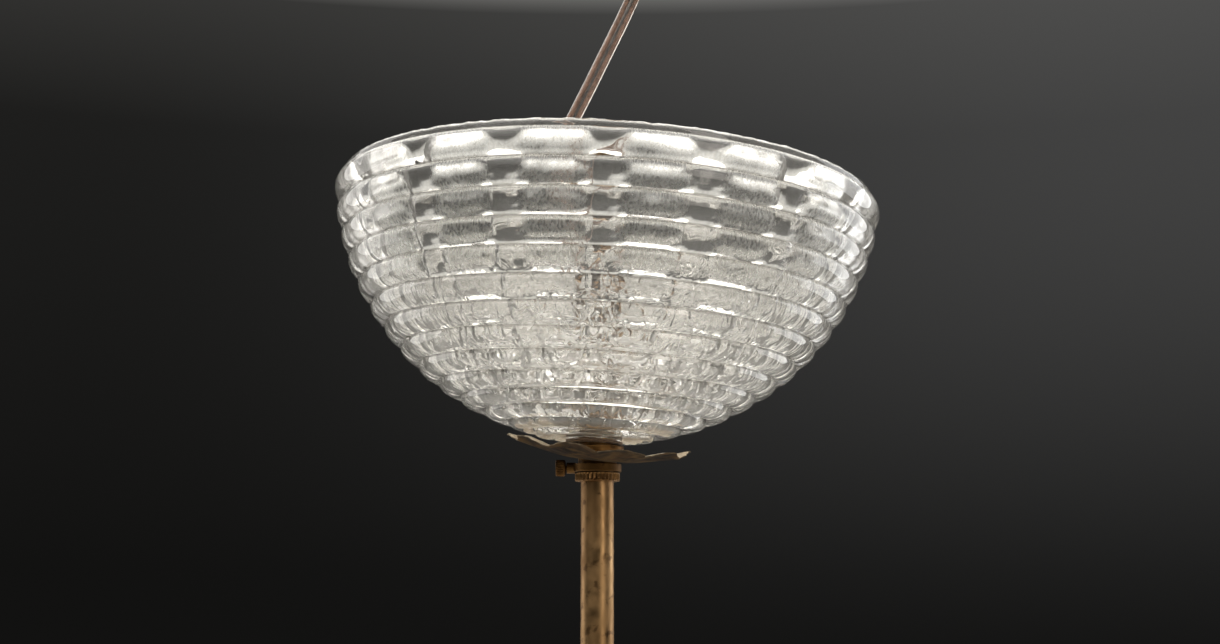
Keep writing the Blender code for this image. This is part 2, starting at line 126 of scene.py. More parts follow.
CAP_TOP = -0.3333
CAP_R = 0.0140
CAP_BOTTOM = -0.3520
SHELL_R = 0.0148
SHELL_BOTTOM = -0.3880
INSERT_TOP = -0.3490
SCREW_PITCH = 0.0028
BULB_TIP = -0.3565
BULB_CAP_BOTTOM = -0.3790
BULB_R = 0.0225
BULB_CENTRE = -0.4120
CEILING_CUP_R = 0.032
CEILING_CUP_H = 0.020
CUP_SCREW_Y = 0.013


# ---------------------------------------------------------------- camera, light and floor


def make_camera():
    data = bpy.data.cameras.new("camera")
    data.lens = 44.0
    data.sensor_width = 36.0
    camera = bpy.data.objects.new("camera", data)
    bpy.context.scene.collection.objects.link(camera)
    camera.location = (0.0046, -0.544, -0.264)
    camera.rotation_euler = (math.radians(90 + 9.42), 0, 0)
    bpy.context.scene.camera = camera


def area_light(name, where, target, size, power, colour=(1, 1, 1)):
    data = bpy.data.lights.new(name, "AREA")
    data.shape = "RECTANGLE"
    data.size, data.size_y = size
    data.energy = power
    data.color = colour
    light = bpy.data.objects.new(name, data)
    bpy.context.scene.collection.objects.link(light)
    light.location = where
    aim = Vector(target) - Vector(where)
    light.rotation_euler = aim.to_track_quat("-Z", "Y").to_euler()


def make_world():
    """Dark at eye level and bright overhead, with a paler wall on the right, as in a dim room."""
    world = bpy.data.worlds.new("studio")
    bpy.context.scene.world = world
    world.use_nodes = True
    tree = world.node_tree
    background = tree.nodes["Background"]
    coords = tree.nodes.new("ShaderNodeTexCoord")
    split = tree.nodes.new("ShaderNodeSeparateXYZ")
    ramp = tree.nodes.new("ShaderNodeValToRGB")
    tree.links.new(coords.outputs["Generated"], split.inputs[0])
    tree.links.new(split.outputs["Z"], ramp.inputs["Fac"])
    stops = ((0.0, 0.006), (0.28, 0.013), (0.36, 0.034), (0.425, 0.60), (0.75, 1.5))
    while len(ramp.color_ramp.elements) < len(stops):
        ramp.color_ramp.elements.new(0.5)
    for element, (at, grey) in zip(ramp.color_ramp.elements, stops):
        element.position = at
        element.color = (grey, grey * 0.985, grey * 0.93, 1)
    glow = tree.nodes.new("ShaderNodeMath")
    glow.operation = "MULTIPLY"
    for socket, axis, low, high, most in ((0, "X", -0.35, 0.42, 0.044), (1, "Z", -0.10, 0.30, 1.0)):
        share = tree.nodes.new("ShaderNodeMapRange")
        share.interpolation_type = "SMOOTHSTEP"
        share.inputs["From Min"].default_value = low
        share.inputs["From Max"].default_value = high
        share.inputs["To Max"].default_value = most
        tree.links.new(split.outputs[axis], share.inputs["Value"])
        tree.links.new(share.outputs[0], glow.inputs[socket])
    lifted = tree.nodes.new("ShaderNodeMix")
    lifted.data_type = "RGBA"
    lifted.blend_type = "ADD"
    lifted.inputs[0].default_value = 1.0
    tree.links.new(ramp.outputs["Color"], lifted.inputs[6])
    tree.links.new(glow.outputs[0], lifted.inputs[7])
    tree.links.new(lifted.outputs[2], background.inputs["Color"])
    background.inputs["Strength"].default_value = 1.0


def make_floor(material):
    bpy.ops.mesh.primitive_circle_add(vertices=96, radius=7, fill_type="NGON", location=(0, 0, -1.6))
    floor = bpy.context.object
    floor.name = "floor"
    floor.data.materials.append(material)


# ---------------------------------------------------------------- materials


class Shader:
    """A material's node tree with short calls for the nodes that are used again and again."""

    def __init__(self, name, colour, roughness, metallic=0.0):
        self.material = bpy.data.materials.new(name)
        self.material.use_nodes = True
        self.tree = self.material.node_tree
        self.main = self.tree.nodes["Principled BSDF"]
        self.set("Base Color", (*colour, 1))
        self.set("Roughness", roughness)
        self.set("Metallic", metallic)
        self.coords = self.tree.nodes.new("ShaderNodeTexCoord").outputs["Object"]

    def set(self, socket, value):
        self.main.inputs[socket].default_value = value

    def link(self, source, socket):
        self.tree.links.new(source, self.main.inputs[socket])

    def noise(self, scale, detail=3.0, stretch=None, distortion=0.0):
        node = self.tree.nodes.new("ShaderNodeTexNoise")
        node.inputs["Scale"].default_value = scale
        node.inputs["Detail"].default_value = detail
        node.inputs["Distortion"].default_value = distortion
        source = self.coords
        if stretch:
            mapping = self.tree.nodes.new("ShaderNodeMapping")
            mapping.inputs["Scale"].default_value = stretch
            self.tree.links.new(self.coords, mapping.inputs["Vector"])
            source = mapping.outputs[0]
        self.tree.links.new(source, node.inputs["Vector"])
        return node.outputs["Fac"]

    def ramp(self, source, *stops):
        """Colour stops are (position, (r, g, b)) or (position, grey)."""
        node = self.tree.nodes.new("ShaderNodeValToRGB")
        self.tree.links.new(source, node.inputs["Fac"])
        elements = node.color_ramp.elements
        while len(elements) < len(stops):
            elements.new(0.5)
        for element, (at, value) in zip(elements, stops):
            element.position = at
            element.color = (*value, 1) if isinstance(value, tuple) else (value, value, value, 1)
        return node.outputs["Color"]

    def mix(self, share, first, second, blend="MIX"):
        node = self.tree.nodes.new("ShaderNodeMix")
        node.data_type = "RGBA"
        node.blend_type = blend
        sockets = (node.inputs[0], node.inputs[6], node.inputs[7])
        for socket, value in zip(sockets, (share, first, second)):
            if isinstance(value, bpy.types.NodeSocket):
                self.tree.links.new(value, socket)
            elif isinstance(value, tuple):
                socket.default_value = (*value, 1)
            else:
                socket.default_value = value
        return node.outputs[2]

    def attribute(self, name):
        node = self.tree.nodes.new("ShaderNodeAttribute")
        node.attribute_name = name
        return node.outputs["Fac"]

    def maths(self, operation, *values):
        node = self.tree.nodes.new("ShaderNodeMath")
        node.operation = operation
        for socket, value in zip(node.inputs, values):
            if isinstance(value, bpy.types.NodeSocket):
                self.tree.links.new(value, socket)
            else:
                socket.default_value = value
        return node.outputs[0]

    def bump(self, height, strength, distance=0.0005):
        node = self.tree.nodes.new("ShaderNodeBump")
        node.inputs["Strength"].default_value = strength
        node.inputs["Distance"].default_value = distance
        self.tree.links.new(height, node.inputs["Height"])
        self.link(node.outputs["Normal"], "Normal")


def brass(name, light, dark, spot, rough):
    """Old brass: cloudy lacquer, brown spots, and a fine drawn grain along Z."""
    s = Shader(name, light, 0.4, 1.0)
    clouds = s.ramp(s.noise(75, 4, distortion=0.4), (0.34, dark), (0.60, light))
    streaks = s.ramp(s.noise(240, 3, (1, 1, 0.12)), (0.35, 0.75), (0.6, 1.0))
    base = s.mix(1.0, clouds, streaks, "MULTIPLY")
    flecks = s.ramp(s.noise(260, 5, distortion=0.3), (0.57, 0.0), (0.66, 0.6))
    s.link(s.mix(flecks, base, spot), "Base Color")
    s.link(s.ramp(s.noise(160, 4), (0.3, rough[0]), (0.7, rough[1])), "Roughness")
    s.bump(s.noise(900, 3, (1, 1, 0.06)), 0.12, 0.0003)
    return s.material


def lit_and_shaded_brass(s, clouds, split, lit_tone, shaded_tone):
    """Lit and shaded brass colours (painted light and painted shade) picked by a 0 to 1 value, with
    brown spots over both.
    """
    # painted light and shade: the first ramp gives the lit brass colours, the second the shaded ones,
    # and the split value picks between them
    clear = s.ramp(clouds, (0.34, lit_tone[1]), (0.60, lit_tone[0]))
    shaded_ramp = s.ramp(clouds, (0.40, shaded_tone[1]), (0.64, shaded_tone[0]))
    flecks = s.ramp(s.noise(260, 5, distortion=0.3), (0.57, 0.0), (0.66, 0.6))
    s.link(s.mix(flecks, s.mix(split, shaded_ramp, clear), (0.06, 0.025, 0.01)), "Base Color")
    s.bump(s.noise(900, 3, (1, 1, 0.06)), 0.12, 0.0003)


def axis_share(s, output, axis, low, high):
    """A texture coordinate's X, Y or Z, rising from 0 at low to 1 at high."""
    parts = s.tree.nodes.new("ShaderNodeSeparateXYZ")
    s.tree.links.new(output, parts.inputs[0])
    share = s.tree.nodes.new("ShaderNodeMapRange")
    share.inputs["From Min"].default_value = low
    share.inputs["From Max"].default_value = high
    s.tree.links.new(parts.outputs[axis], share.inputs["Value"])
    return share.outputs[0]


def stem_brass():
    """Yellow below the canopy, painted dark brown where it runs inside the glass bowl: painted shade."""
    s = Shader("stem_brass", (0.3, 0.2, 0.1), 0.42, 1.0)
    clouds = s.noise(75, 4, (1, 1, 0.35), 0.4)
    # painted shade: above Z -0.205, inside the bowl, the stem takes the dark shaded colours; below
    # -0.222 it takes the lit yellow ones
    split = axis_share(s, s.coords, 2, -0.205, -0.222)
    lit_tone = ((0.385, 0.232, 0.105), (0.24, 0.132, 0.054))
    shaded_tone = ((0.09, 0.05, 0.025), (0.03, 0.016, 0.008))
    lit_and_shaded_brass(s, clouds, split, lit_tone, shaded_tone)
    s.link(s.ramp(s.noise(160, 4), (0.3, 0.30), (0.7, 0.55)), "Roughness")
    return s.material


def petal_brass():
    """Pale on its upper face and dark under it: painted overhead light on top and painted shade beneath.
    """
    s = Shader("petal_brass", (0.3, 0.2, 0.1), 0.5, 0.75)
    clouds = s.noise(150, 4, distortion=0.6)
    coords = s.tree.nodes.new("ShaderNodeTexCoord")
    # painted light and shade: faces turned up take the pale lit colour with more polish and metal; faces
    # turned down take the dark shaded colour, rough and less metallic
    split = axis_share(s, coords.outputs["Normal"], 2, -0.2, 0.3)
    lit_tone = ((0.62, 0.52, 0.38), (0.42, 0.33, 0.22))
    shaded_tone = ((0.075, 0.042, 0.014), (0.014, 0.008, 0.004))
    lit_and_shaded_brass(s, clouds, split, lit_tone, shaded_tone)
    polish = s.ramp(s.noise(160, 4), (0.3, 0.36), (0.7, 0.62))
    s.link(s.mix(split, (0.85, 0.85, 0.85), polish), "Roughness")
    s.link(s.mix(split, (0.15, 0.15, 0.15), (0.75, 0.75, 0.75)), "Metallic")
    s.set("Specular IOR Level", 0.15)
    return s.material


def clear_glass():
    """Clear above and rippled inside low down, frosted in the upper cells, with painted shade darkening
    the grooves.
    """
    s = Shader("clear_glass", (0.985, 0.982, 0.965), 0.0)
    s.set("Transmission Weight", 0.91)
    s.set("IOR", 1.50)
    speckle = s.ramp(s.noise(1100, 2), (0.40, (0.85, 0.83, 0.79)), (0.60, (1.0, 0.99, 0.965)))
    # painted shade: the groove rows on the outside are coloured dark grey
    painted_groove_shade = s.ramp(s.attribute("groove"), (0.35, 0.0), (0.75, 0.85))
    cell = s.attribute("cell")
    low = axis_share(s, s.coords, 2, -0.158, -0.180)
    s.link(s.mix(painted_groove_shade, speckle, (0.34, 0.32, 0.29)), "Base Color")
    grain = s.ramp(s.noise(1300, 2), (0.35, 0.15), (0.65, 0.42))
    clear = s.ramp(s.noise(420, 2), (0.60, 0.0), (0.75, 0.02))
    s.link(s.mix(s.attribute("satin"), clear, grain), "Roughness")
    contour = s.maths("MULTIPLY", cell, 8.0)
    phase = s.maths("MULTIPLY_ADD", s.noise(230, 1.0, distortion=1.0), 13.0, contour)
    inside = s.maths("GREATER_THAN", cell, CELL_BASE / 2)
    where = s.maths("MULTIPLY", inside, low)
    ripple = s.maths("MULTIPLY", s.maths("SINE", phase), where)
    s.bump(s.maths("MULTIPLY_ADD", s.noise(520, 2), 0.10, ripple), 1.0, 0.00011)
    return s.material


def lamp_glass():
    s = Shader("bulb_glass", (0.98, 0.98, 0.97), 0.0)
    s.set("Transmission Weight", 1.0)
    s.set("IOR", 1.46)
    s.link(s.ramp(s.noise(300, 2), (0.6, 0.0), (0.8, 0.06)), "Roughness")
    return s.material


def clear_pvc():
    s = Shader("clear_flex", (0.72, 0.66, 0.61), 0.12)
    s.set("Transmission Weight", 0.92)
    s.set("IOR", 1.42)
    s.link(s.ramp(s.noise(500, 3), (0.35, 0.08), (0.7, 0.26)), "Roughness")
    s.bump(s.noise(300, 2), 0.1, 0.0004)
    return s.material


def copper():
    s = Shader("copper", (0.72, 0.40, 0.27), 0.3, 1.0)
    s.link(s.ramp(s.noise(600, 3), (0.3, (0.22, 0.12, 0.08)), (0.7, (0.42, 0.26, 0.19))), "Base Color")
    s.link(s.ramp(s.noise(900, 2), (0.3, 0.25), (0.7, 0.5)), "Roughness")
    return s.material


def felt():
    s = Shader("felt", (0.12, 0.075, 0.045), 0.95)
    fibres = s.ramp(s.noise(1500, 6), (0.3, (0.07, 0.04, 0.022)), (0.75, (0.20, 0.13, 0.08)))
    s.link(fibres, "Base Color")
    s.set("Sheen Weight", 0.4)
    s.bump(s.noise(2400, 4), 0.8, 0.0004)
    return s.material


def plain(name, dark, light, rough, metallic, bump):
    """A cloudy colour and polish with a fine grain."""
    s = Shader(name, light, rough[0], metallic)
    s.link(s.ramp(s.noise(400, 4), (0.3, dark), (0.7, light)), "Base Color")
    s.link(s.ramp(s.noise(680, 3), (0.3, rough[0]), (0.7, rough[1])), "Roughness")
    s.bump(s.noise(1500, 3), bump, 0.0002)
    return s.material


def pale_floor():
    """A painted pool of light: pale under the lamp and painted dimmer further out, so that the horizon
    stays dark.
    """
    s = Shader("floor", (0.6, 0.59, 0.57), 0.7)
    far = s.tree.nodes.new("ShaderNodeVectorMath")
    far.operation = "LENGTH"
    s.tree.links.new(s.coords, far.inputs[0])
    reach = s.tree.nodes.new("ShaderNodeMapRange")
    s.tree.links.new(far.outputs["Value"], reach.inputs["Value"])
    reach.inputs["From Min"].default_value = 1.0
    reach.inputs["From Max"].default_value = 5.0
    # painted pool of light: the floor colour fades from pale within a metre of the middle to near black
    # at five metres
    painted_light_pool = s.ramp(reach.outputs[0], (0.0, (0.60, 0.59, 0.565)), (1.0, (0.05, 0.05, 0.048)))
    stains = s.ramp(s.noise(8, 4), (0.3, 0.0), (0.7, 0.12))
    s.link(s.mix(stains, painted_light_pool, (0.30, 0.29, 0.28), "MULTIPLY"), "Base Color")
    s.bump(s.noise(60, 4), 0.04)
    return s.material


def brass_kinds():
    """Each row: light, dark and spot colours, then the least and most roughness."""
    rows = {
        "aged_brass": ((0.41, 0.25, 0.115), (0.27, 0.15, 0.062), (0.085, 0.034, 0.013), (0.30, 0.58)),
        "dark_brass": ((0.20, 0.105, 0.034), (0.085, 0.038, 0.013), (0.03, 0.013, 0.006), (0.4, 0.7)),
        "ring_brass": ((0.30, 0.165, 0.063), (0.16, 0.078, 0.028), (0.06, 0.02, 0.007), (0.35, 0.6)),
    }
    return {name: brass(name, *row) for name, row in rows.items()}


def plain_kinds():
    """Each row: dark and light colours, the least and most roughness, metal, bump."""
    rows = {
        "porcelain": ((0.74, 0.71, 0.64), (0.84, 0.82, 0.76), (0.16, 0.32), 0.0, 0.05),
        "steel": ((0.42, 0.42, 0.40), (0.62, 0.62, 0.60), (0.25, 0.45), 1.0, 0.1),
        "white_plastic": ((0.70, 0.67, 0.58), (0.80, 0.78, 0.71), (0.36, 0.52), 0.0, 0.1),
        "black_glass": ((0.012, 0.012, 0.014), (0.03, 0.03, 0.035), (0.08, 0.2), 0.0, 0.1),
        "tungsten": ((0.16, 0.15, 0.15), (0.30, 0.29, 0.28), (0.4, 0.6), 1.0, 0.1),
        "core_brown": ((0.20, 0.09, 0.04), (0.30, 0.15, 0.08), (0.35, 0.5), 0.0, 0.1),
        "core_blue": ((0.06, 0.15, 0.34), (0.10, 0.22, 0.45), (0.35, 0.5), 0.0, 0.1),
    }
    return {name: plain(name, *row) for name, row in rows.items()}


def make_materials():
    made = brass_kinds() | plain_kinds()
    made["petal_brass"] = petal_brass()
    made["stem_brass"] = stem_brass()
    made["clear_glass"] = clear_glass()
    made["bulb_glass"] = lamp_glass()
    made["clear_flex"] = clear_pvc()
    made["copper"] = copper()
    made["felt"] = felt()
    made["floor"] = pale_floor()
    return made


# ---------------------------------------------------------------- mesh tools


def finish_piece(obj, body, slot, material, nodes=(), angle=35):
    mesh = obj.data
    mesh.materials.clear()
    mesh.materials.append(MATERIALS[material or slot])
    mesh.shade_smooth()
    mesh.set_sharp_from_angle(angle=math.radians(angle))
    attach(obj, body)
    if nodes:
        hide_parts(*nodes)
    return obj


def grid_object(name, points, close_rows, close_cols=True, where=None):
    """A mesh over a rows x columns array of points. A row of equal points becomes one pole."""
    rows, cols = points.shape[:2]
    work = bmesh.new()
    verts = []
    for r in range(rows):
        if np.ptp(points[r], axis=0).max() < 1e-9:
            verts.append([work.verts.new(points[r, 0])] * cols)
        else:
            verts.append([work.verts.new(p) for p in points[r]])
    for r in range(rows if close_rows else rows - 1):
        for c in range(cols if close_cols else cols - 1):
            quad = (
                verts[r][c], verts[r][(c + 1) % cols],
                verts[(r + 1) % rows][(c + 1) % cols], verts[(r + 1) % rows][c],
            )
            distinct = list(dict.fromkeys(quad))
            if len(distinct) > 2:
                work.faces.new(distinct)
    bmesh.ops.recalc_face_normals(work, faces=work.faces)
    mesh = bpy.data.meshes.new(name)
    work.to_mesh(mesh)
    work.free()
    if where is not None:
        mesh.transform(where)
    obj = bpy.data.objects.new(name, mesh)
    bpy.context.scene.collection.objects.link(obj)
    return obj


def eased(profile, radius, closed=True, pieces=3):
    """The profile with each corner turned into an arc of about the given radius."""
    pts = [Vector(p) for p in profile]
    count = len(pts)
    out = []
    for i, p in enumerate(pts):
        if not closed and i in (0, count - 1):
            out.append(tuple(p))
            continue
        before, after = pts[i - 1], pts[(i + 1) % count]
        a, b = before - p, after - p
        reach = min(radius, a.length * 0.45, b.length * 0.45)
        start, end = p + a.normalized() * reach, p + b.normalized() * reach
        for k in range(pieces + 1):
            t = k / pieces
            out.append(tuple((1 - t) ** 2 * start + 2 * t * (1 - t) * p + t**2 * end))
    return out


def with_steps(profile, step, closed=True):
    """The profile with no stretch longer than step."""
    pts = list(profile)
    out = []
    pairs = zip(pts, pts[1:] + pts[:1]) if closed else zip(pts, pts[1:])
    for a, b in pairs:
        pieces = max(1, math.ceil(math.dist(a, b) / step))
        for k in range(pieces):
            t = k / pieces
            out.append((a[0] + (b[0] - a[0]) * t, a[1] + (b[1] - a[1]) * t))
    if not closed:
        out.append(pts[-1])
    return out


def turned(name, profile, steps=96, shape=None, closed=True, where=None):
    """A turned mesh. shape(radius, height, angle) gives the radius where it isn't round."""
    angle = np.arange(steps) * TAU / steps
    radius = np.array([p[0] for p in profile])[:, None] + 0 * angle
    height = np.array([p[1] for p in profile])[:, None] + 0 * angle
    if shape:
        radius = shape(radius, height, angle[None, :] + 0 * radius)
    points = np.stack([radius * np.cos(angle), radius * np.sin(angle), height], axis=-1)
    return grid_object(name, points, closed, where=where)


def ring_profile(r_in, r_out, low, high, ease=0.0003):
    return eased([(r_out, high), (r_out, low), (r_in, low), (r_in, high)], ease)


def smooth_route(points, spacing):
    """Points about `spacing` apart on a Catmull-Rom curve through the given points."""
    knots = [Vector(p) for p in points]
    knots = [2 * knots[0] - knots[1], *knots, 2 * knots[-1] - knots[-2]]
    out = []
    for a, b, c, d in zip(knots, knots[1:], knots[2:], knots[3:]):
        pieces = max(1, round((c - b).length / spacing))
        for i in range(pieces):
            t = i / pieces
            out.append(
                0.5
                * (
                    2 * b
                    + (c - a) * t
                    + (2 * a - 5 * b + 4 * c - d) * t**2
                    + (3 * b - a - 3 * c + d) * t**3
                )
            )
    out.append(knots[-2])
    return out


def swept(name, path, section, side, where=None):
    """A tube whose section(share, length) gives points (across, over) round each path point.
    side(share) is the direction of `across`. The ends are closed."""
    path = [Vector(p) for p in path]
    count = len(path)
    lengths = [0.0]
    for a, b in zip(path, path[1:]):
        lengths.append(lengths[-1] + (b - a).length)
    rings = []
    for i, p in enumerate(path):
        along = (path[min(i + 1, count - 1)] - path[max(i - 1, 0)]).normalized()
        share = lengths[i] / lengths[-1]
        wanted = Vector(side(share))
        across = (wanted - along * wanted.dot(along)).normalized()
        over = along.cross(across)
        rings.append([p + across * u + over * v for u, v in section(share, lengths[i])])
    points = np.array([[tuple(q) for q in ring] for ring in rings])
    first = np.repeat(points[:1].mean(axis=1, keepdims=True), points.shape[1], axis=1)
    last = np.repeat(points[-1:].mean(axis=1, keepdims=True), points.shape[1], axis=1)
    return grid_object(name, np.concatenate([first, points, last]), False, where=where)


def round_section(radius, sides=16):
    angles = [TAU * k / sides for k in range(sides)]
    points = [(radius * math.cos(a), radius * math.sin(a)) for a in angles]
    return lambda share, length: points


def wire(name, path, radius, side=(0, 1, 0.01), sides=16, where=None):
    return swept(name, path, round_section(radius, sides), lambda share: side, where)


def cut(obj, cutter, operation="DIFFERENCE"):
    """Applies a Boolean with the cutter, then removes the cutter."""
    modifier = obj.modifiers.new("Cut", "BOOLEAN")
    modifier.operation = operation
    modifier.solver = "EXACT"
    modifier.object = cutter
    graph = bpy.context.evaluated_depsgraph_get()
    mesh = bpy.data.meshes.new_from_object(obj.evaluated_get(graph))
    obj.modifiers.clear()
    obj.data = mesh
    bpy.data.objects.remove(cutter)
    return obj


def rod(name, radius, centre, axis, length, steps=48, ease=0.0):
    profile = [(0, length / 2), (radius, length / 2), (radius, -length / 2), (0, -length / 2)]
    if ease:
        profile = eased(profile, ease, closed=False)
    turn = Vector((0, 0, 1)).rotation_difference(Vector(axis)).to_matrix().to_4x4()
    return turned(name, profile, steps, closed=False, where=Matrix.Translation(centre) @ turn)


def tilt_about(z, roll, pitch=0.0):
    return Matrix.Translation((0, 0, z)) @ Matrix.Rotation(roll, 4, "Y") @ Matrix.Rotation(pitch, 4, "X")


def knurl(teeth, depth, low, high, lean=0.0):
    """Teeth round a turned piece between two heights, leaning by `lean` radians per metre of height."""

    def shape(radius, height, angle):
        fade = np.clip((height - low) / 0.0003, 0, 1) * np.clip((high - height) / 0.0003, 0, 1)
        outer = radius > radius.max() * 0.97
        tooth = 0.5 - 0.5 * np.cos(teeth * (angle + lean * height))
        return radius - depth * tooth**0.7 * fade * outer

    return shape


def thread(pitch, depth, low, high, inner=False):
    """A one-start round thread between two heights, on the outer side or, with inner, the bore too."""

    def shape(radius, height, angle):
        fade = np.clip((height - low) / pitch, 0, 1) * np.clip((high - height) / pitch, 0, 1)
        wave = 0.5 - 0.5 * np.cos(TAU * height / pitch - angle)
        middle = (radius.max() + radius.min()) / 2
        share = 1.0 if inner else (radius > middle)
        return radius - depth * wave * fade * share

    return shape


# ---------------------------------------------------------------- glass bowl


def wall_point(angle):
    """Point and outward normal of the bowl's ellipse at an angle up from its foot."""
    r = BOWL_R * np.sin(angle)
    z = BOWL_AXIS_H * (1 - np.cos(angle))
    nr = np.sin(angle) / BOWL_R
    nz = -np.cos(angle) / BOWL_AXIS_H
    size = np.hypot(nr, nz)
    return r, z, nr / size, nz / size


def pocket(across, up, half_width, half_height):
    """Depth share of a round-ended pocket: 0 at its edge, rising like an arch to 1 along its middle."""
    corner = 0.96 * np.minimum(half_width, half_height)
    qx = np.abs(across) - (half_width - corner)
    qy = np.abs(up) - (half_height - corner)
    outside = np.hypot(np.maximum(qx, 0), np.maximum(qy, 0)) + np.minimum(np.maximum(qx, qy), 0) - corner
    share = np.clip(-outside / np.minimum(half_width, half_height), 0, 1)
    return np.sin(share * math.pi / 2) ** 0.75


def wobble(points, scale, size, seed):
    """Smooth seeded noise of about +-size at the points."""
    shift = Vector((seed * 3.1, seed * 1.7, seed * 2.3))
    flat = points.reshape(-1, 3)
    values = [noise.noise(Vector(p) * scale + shift) for p in flat]
    return size * np.array(values).reshape(points.shape[:-1])


def column_angles():
    """Angles round the bowl, closer together where the ends of the pockets are."""
    share = np.arange(COLUMN_STEPS) / COLUMN_STEPS
    share = share - 0.035 * np.sin(2 * TAU * (share + 0.06))
    return ((np.arange(COLUMNS)[:, None] + share[None, :]) * TAU / COLUMNS).ravel()


def round_about(radius, height, theta):
    return np.stack([radius * np.cos(theta), radius * np.sin(theta), height], axis=-1)


def ring_swell(share, bottom):
    """How far a ring stands out, by the share of the way down it and the angle of its lower groove."""
    return RING_SWELL * (0.5 + 0.5 * np.sin(bottom)) * np.sin(math.pi * share**0.78) ** 0.6


def outer_wall(theta, stops, rim_angle):
    """Rows down the outside: a plain band under the rim, then the round rings."""
    rows = [(rim_angle, -LIP), (rim_angle - LIP_TURN, -LIP / 3), (rim_angle - 2 * LIP_TURN, 0.0)]
    rows.append((stops[0] + LIP_TURN, 0.0))
    for top, bottom in zip(stops, stops[1:]):
        for k in range(OUTER_STEPS):
            share = k / OUTER_STEPS
            rows.append((top + (bottom - top) * share, ring_swell(share, bottom)))
    rows.append((stops[-1], 0.0))
    angle = np.array([row[0] for row in rows])[:, None] + 0 * theta
    swell = np.array([row[1] for row in rows])[:, None] + 0 * theta
    r, z, nr, nz = wall_point(angle)
    points = round_about(r, z, theta)
    swell = swell + wobble(points, 40, 0.0002, 4)
    chips = (angle > rim_angle - 1.5 * LIP_TURN) * wobble(points, 420, 0.0004, 5)
    groove = np.array([row[0] in stops[1:] for row in rows], float)
    return round_about(r + nr * swell, z + nz * swell + chips, theta), groove[:, None] + 0 * theta


def inner_wall(theta, stops, rim_angle):
    """Rows up the inside: a smooth thick wall with the grid of pockets pressed into it."""
    low = math.radians(20)
    rows = []
    for top, bottom in reversed(list(zip(stops, stops[1:]))):
        angles = [bottom + (top - bottom) * k / INNER_STEPS for k in range(INNER_STEPS)]
        rows += [(a, top, bottom) for a in angles if a > low]
    lip = (stops[0], rim_angle - 2 * LIP_TURN, rim_angle - LIP_TURN, rim_angle)
    rows += [(a, stops[0], stops[1]) for a in lip]
    angle, top, bottom = (np.array(values)[:, None] + 0 * theta for values in zip(*rows))
    r, z, nr, nz = wall_point(angle)
    arc = np.hypot(r, BOWL_AXIS_H - z)
    column = (theta * COLUMNS / TAU + 0.5) % 1.0 - 0.5
    pitch = TAU * (r - WALL) / COLUMNS
    base = round_about(r, z, theta)
    wander = wobble(base, 30, 0.0006, 3)
    across = column[None, :] * pitch + wander
    up = (angle - (top + bottom) / 2) * arc + 0.5 * wander
    arch = pocket(across, up, CELL_WIDTH / 2 * pitch, CELL_HEIGHT / 2 * (top - bottom) * arc)
    drift = wobble(base, 55, 0.0003, 1) + wobble(base, 170, 0.00034, 2) + wobble(base, 330, 0.00013, 6)
    shallow = np.where(top > stops[1], TOP_CELL, 1.0)
    depth = -WALL + CELL_DEPTH * shallow * arch * np.clip((angle - low) / CELL_FADE, 0, 1) + drift
    down = np.clip((top - angle) / (top - bottom), 0, 1)
    window = np.clip(1 - WINDOW_EDGE * arch, 0, 1) * (angle < stops[1])
    depth = depth + WINDOW * window * ring_swell(down, bottom)
    depth = depth + LIP * np.clip((angle - rim_angle) / LIP_TURN + 1, 0, 1)
    satin = np.clip(arch * SATIN_EDGE, 0, 1) * np.clip((angle - SATIN_LOW) / SATIN_FADE, 0, 1)
    cell = CELL_BASE + (1 - CELL_BASE) * arch
    return round_about(r + nr * depth, z + nz * depth, theta), satin, cell


def glass_bowl():
    theta = column_angles()
    rim_angle = math.acos(1 - BOWL_H / BOWL_AXIS_H)
    stops = [rim_angle - RIM_BAND] + [FIRST_GROOVE - i * RING_PITCH for i in range(GROOVES + 1)]
    foot = [
        (0.0222, 0.0017), (0.0214, 0.0005), (0.0205, 0), (BOWL_HOLE_R, 0),
        (BOWL_HOLE_R, FLOOR_T), (0.020, FLOOR_T), (0.028, 0.0066),
    ]
    foot = with_steps(eased(foot, 0.0006, closed=False, pieces=4), 0.0012, closed=False)
    foot = np.array(foot)[:, :, None] + 0 * theta
    foot = round_about(foot[:, 0], foot[:, 1], theta)
    outside, groove = outer_wall(theta, stops, rim_angle)
    inside, satin, cell = inner_wall(theta, stops, rim_angle)
    points = np.concatenate([outside, foot, inside])
    floor_cell = CELL_BASE * (foot[..., 2] > 0.9 * FLOOR_T)
    points[..., 2] += BOWL_FOOT - BOWL_PIVOT
    bowl = grid_object("bowl_glass", points, True, where=tilt_about(BOWL_PIVOT, BOWL_TILT))
    plain_rows = np.zeros(points.shape[:2])
    for name, first, values in (
        ("satin", len(points) - len(inside), satin),
        ("cell", len(outside), np.concatenate([floor_cell, cell])),
        ("groove", 0, groove),
    ):
        shares = plain_rows.copy()
        shares[first : first + len(values)] = values
        layer = bowl.data.attributes.new(name, "FLOAT", "POINT")
        layer.data.foreach_set("value", shares.ravel().astype(np.float32))
    return finish_piece(bowl, "bowl", "clear_glass", None, ["glass_bowl"], 45)


def washers():
    askew = tilt_about(BOWL_PIVOT, BOWL_TILT)
    foot = BOWL_FOOT - BOWL_PIVOT
    rows = (
        ("seat_felt", "seat_washer", 0.0104, foot - GAP - FELT_T),
        ("inner_felt", "inner_washer", 0.0125, foot + FLOOR_T + GAP),
    )

    def ragged(radius, height, angle):
        return radius * (1 + 0.006 * np.sin(31 * angle + 900 * height) * np.sin(7 * angle))

    for name, node, r_out, low in rows:
        profile = with_steps(ring_profile(0.0088, r_out, low, low + FELT_T, 0.0004), 0.0005)
        felt_ring = turned(name, profile, 72, ragged, where=askew)
        finish_piece(felt_ring, "seat", "felt", None, [node])


# ---------------------------------------------------------------- petal cup and collar


